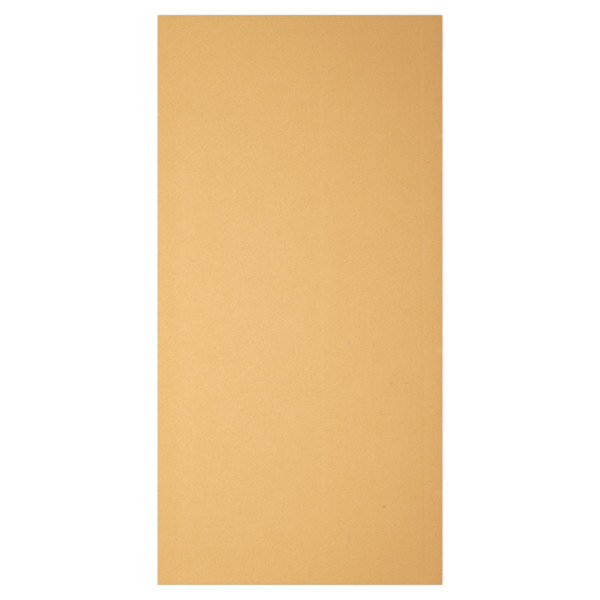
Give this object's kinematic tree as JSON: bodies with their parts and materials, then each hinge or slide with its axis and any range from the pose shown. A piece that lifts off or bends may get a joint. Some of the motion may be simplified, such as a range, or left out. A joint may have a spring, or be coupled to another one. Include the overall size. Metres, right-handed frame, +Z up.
{
  "type": "particle board sheet",
  "caption": "Flat rectangular sheet of particle board, sanded on both faces and sawn square, used as panel stock for shelving, cabinets and underlay.",
  "frame": {"origin": "middle of the sheet's underside, on the floor that it lies on", "axes": "+X across the width, +Y along the length, +Z up through the thickness, out of the face that the picture shows"},
  "size_m": [1.219, 2.438, 0.019],
  "materials": {
    "sanded_chips": "matte"
  },
  "bodies": {
    "root": {"board": "sanded_chips"}
  },
  "joints": []
}
